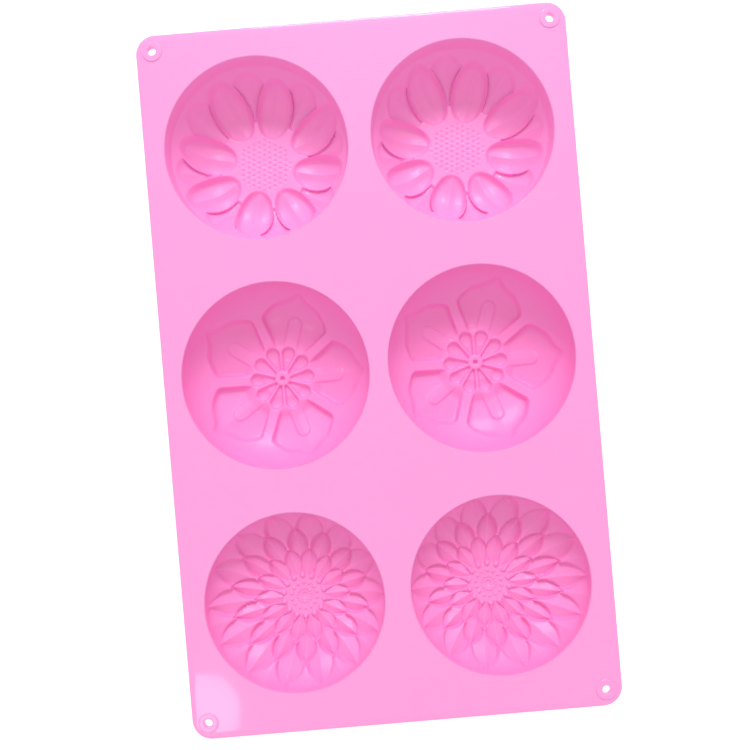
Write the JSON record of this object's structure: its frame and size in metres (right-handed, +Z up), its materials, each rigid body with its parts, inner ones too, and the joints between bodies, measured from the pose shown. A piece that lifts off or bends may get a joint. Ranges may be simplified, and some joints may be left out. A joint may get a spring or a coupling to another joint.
{
  "type": "silicone soap mould",
  "caption": "Flexible sheet mould with round flower-relief cups for casting soap, wax or resin, with hanging holes in its corners.",
  "frame": {"origin": "centre of the box at the plane that the cups stand on", "axes": "+Y along the sheet's length towards the sunflower cups, +X across its width, +Z up out of the cups' mouths"},
  "size_m": [0.176, 0.288, 0.0253],
  "materials": {
    "sheet_silicone": "soft satin, slightly translucent",
    "cup_silicone": "soft satin, slightly translucent"
  },
  "bodies": {
    "root": {"sheet": "sheet_silicone", "sunflower_wall_left": "cup_silicone", "sunflower_wall_right": "cup_silicone", "blossom_wall_left": "cup_silicone", "blossom_wall_right": "cup_silicone", "chrysanthemum_wall_left": "cup_silicone", "chrysanthemum_wall_right": "cup_silicone", "sunflower_floor_left": "cup_silicone", "sunflower_floor_right": "cup_silicone", "blossom_floor_left": "cup_silicone", "blossom_floor_right": "cup_silicone", "chrysanthemum_floor_left": "cup_silicone", "chrysanthemum_floor_right": "cup_silicone", "eyelet_rear_left": "sheet_silicone", "eyelet_rear_right": "sheet_silicone", "eyelet_front_left": "sheet_silicone", "eyelet_front_right": "sheet_silicone"}
  },
  "joints": []
}
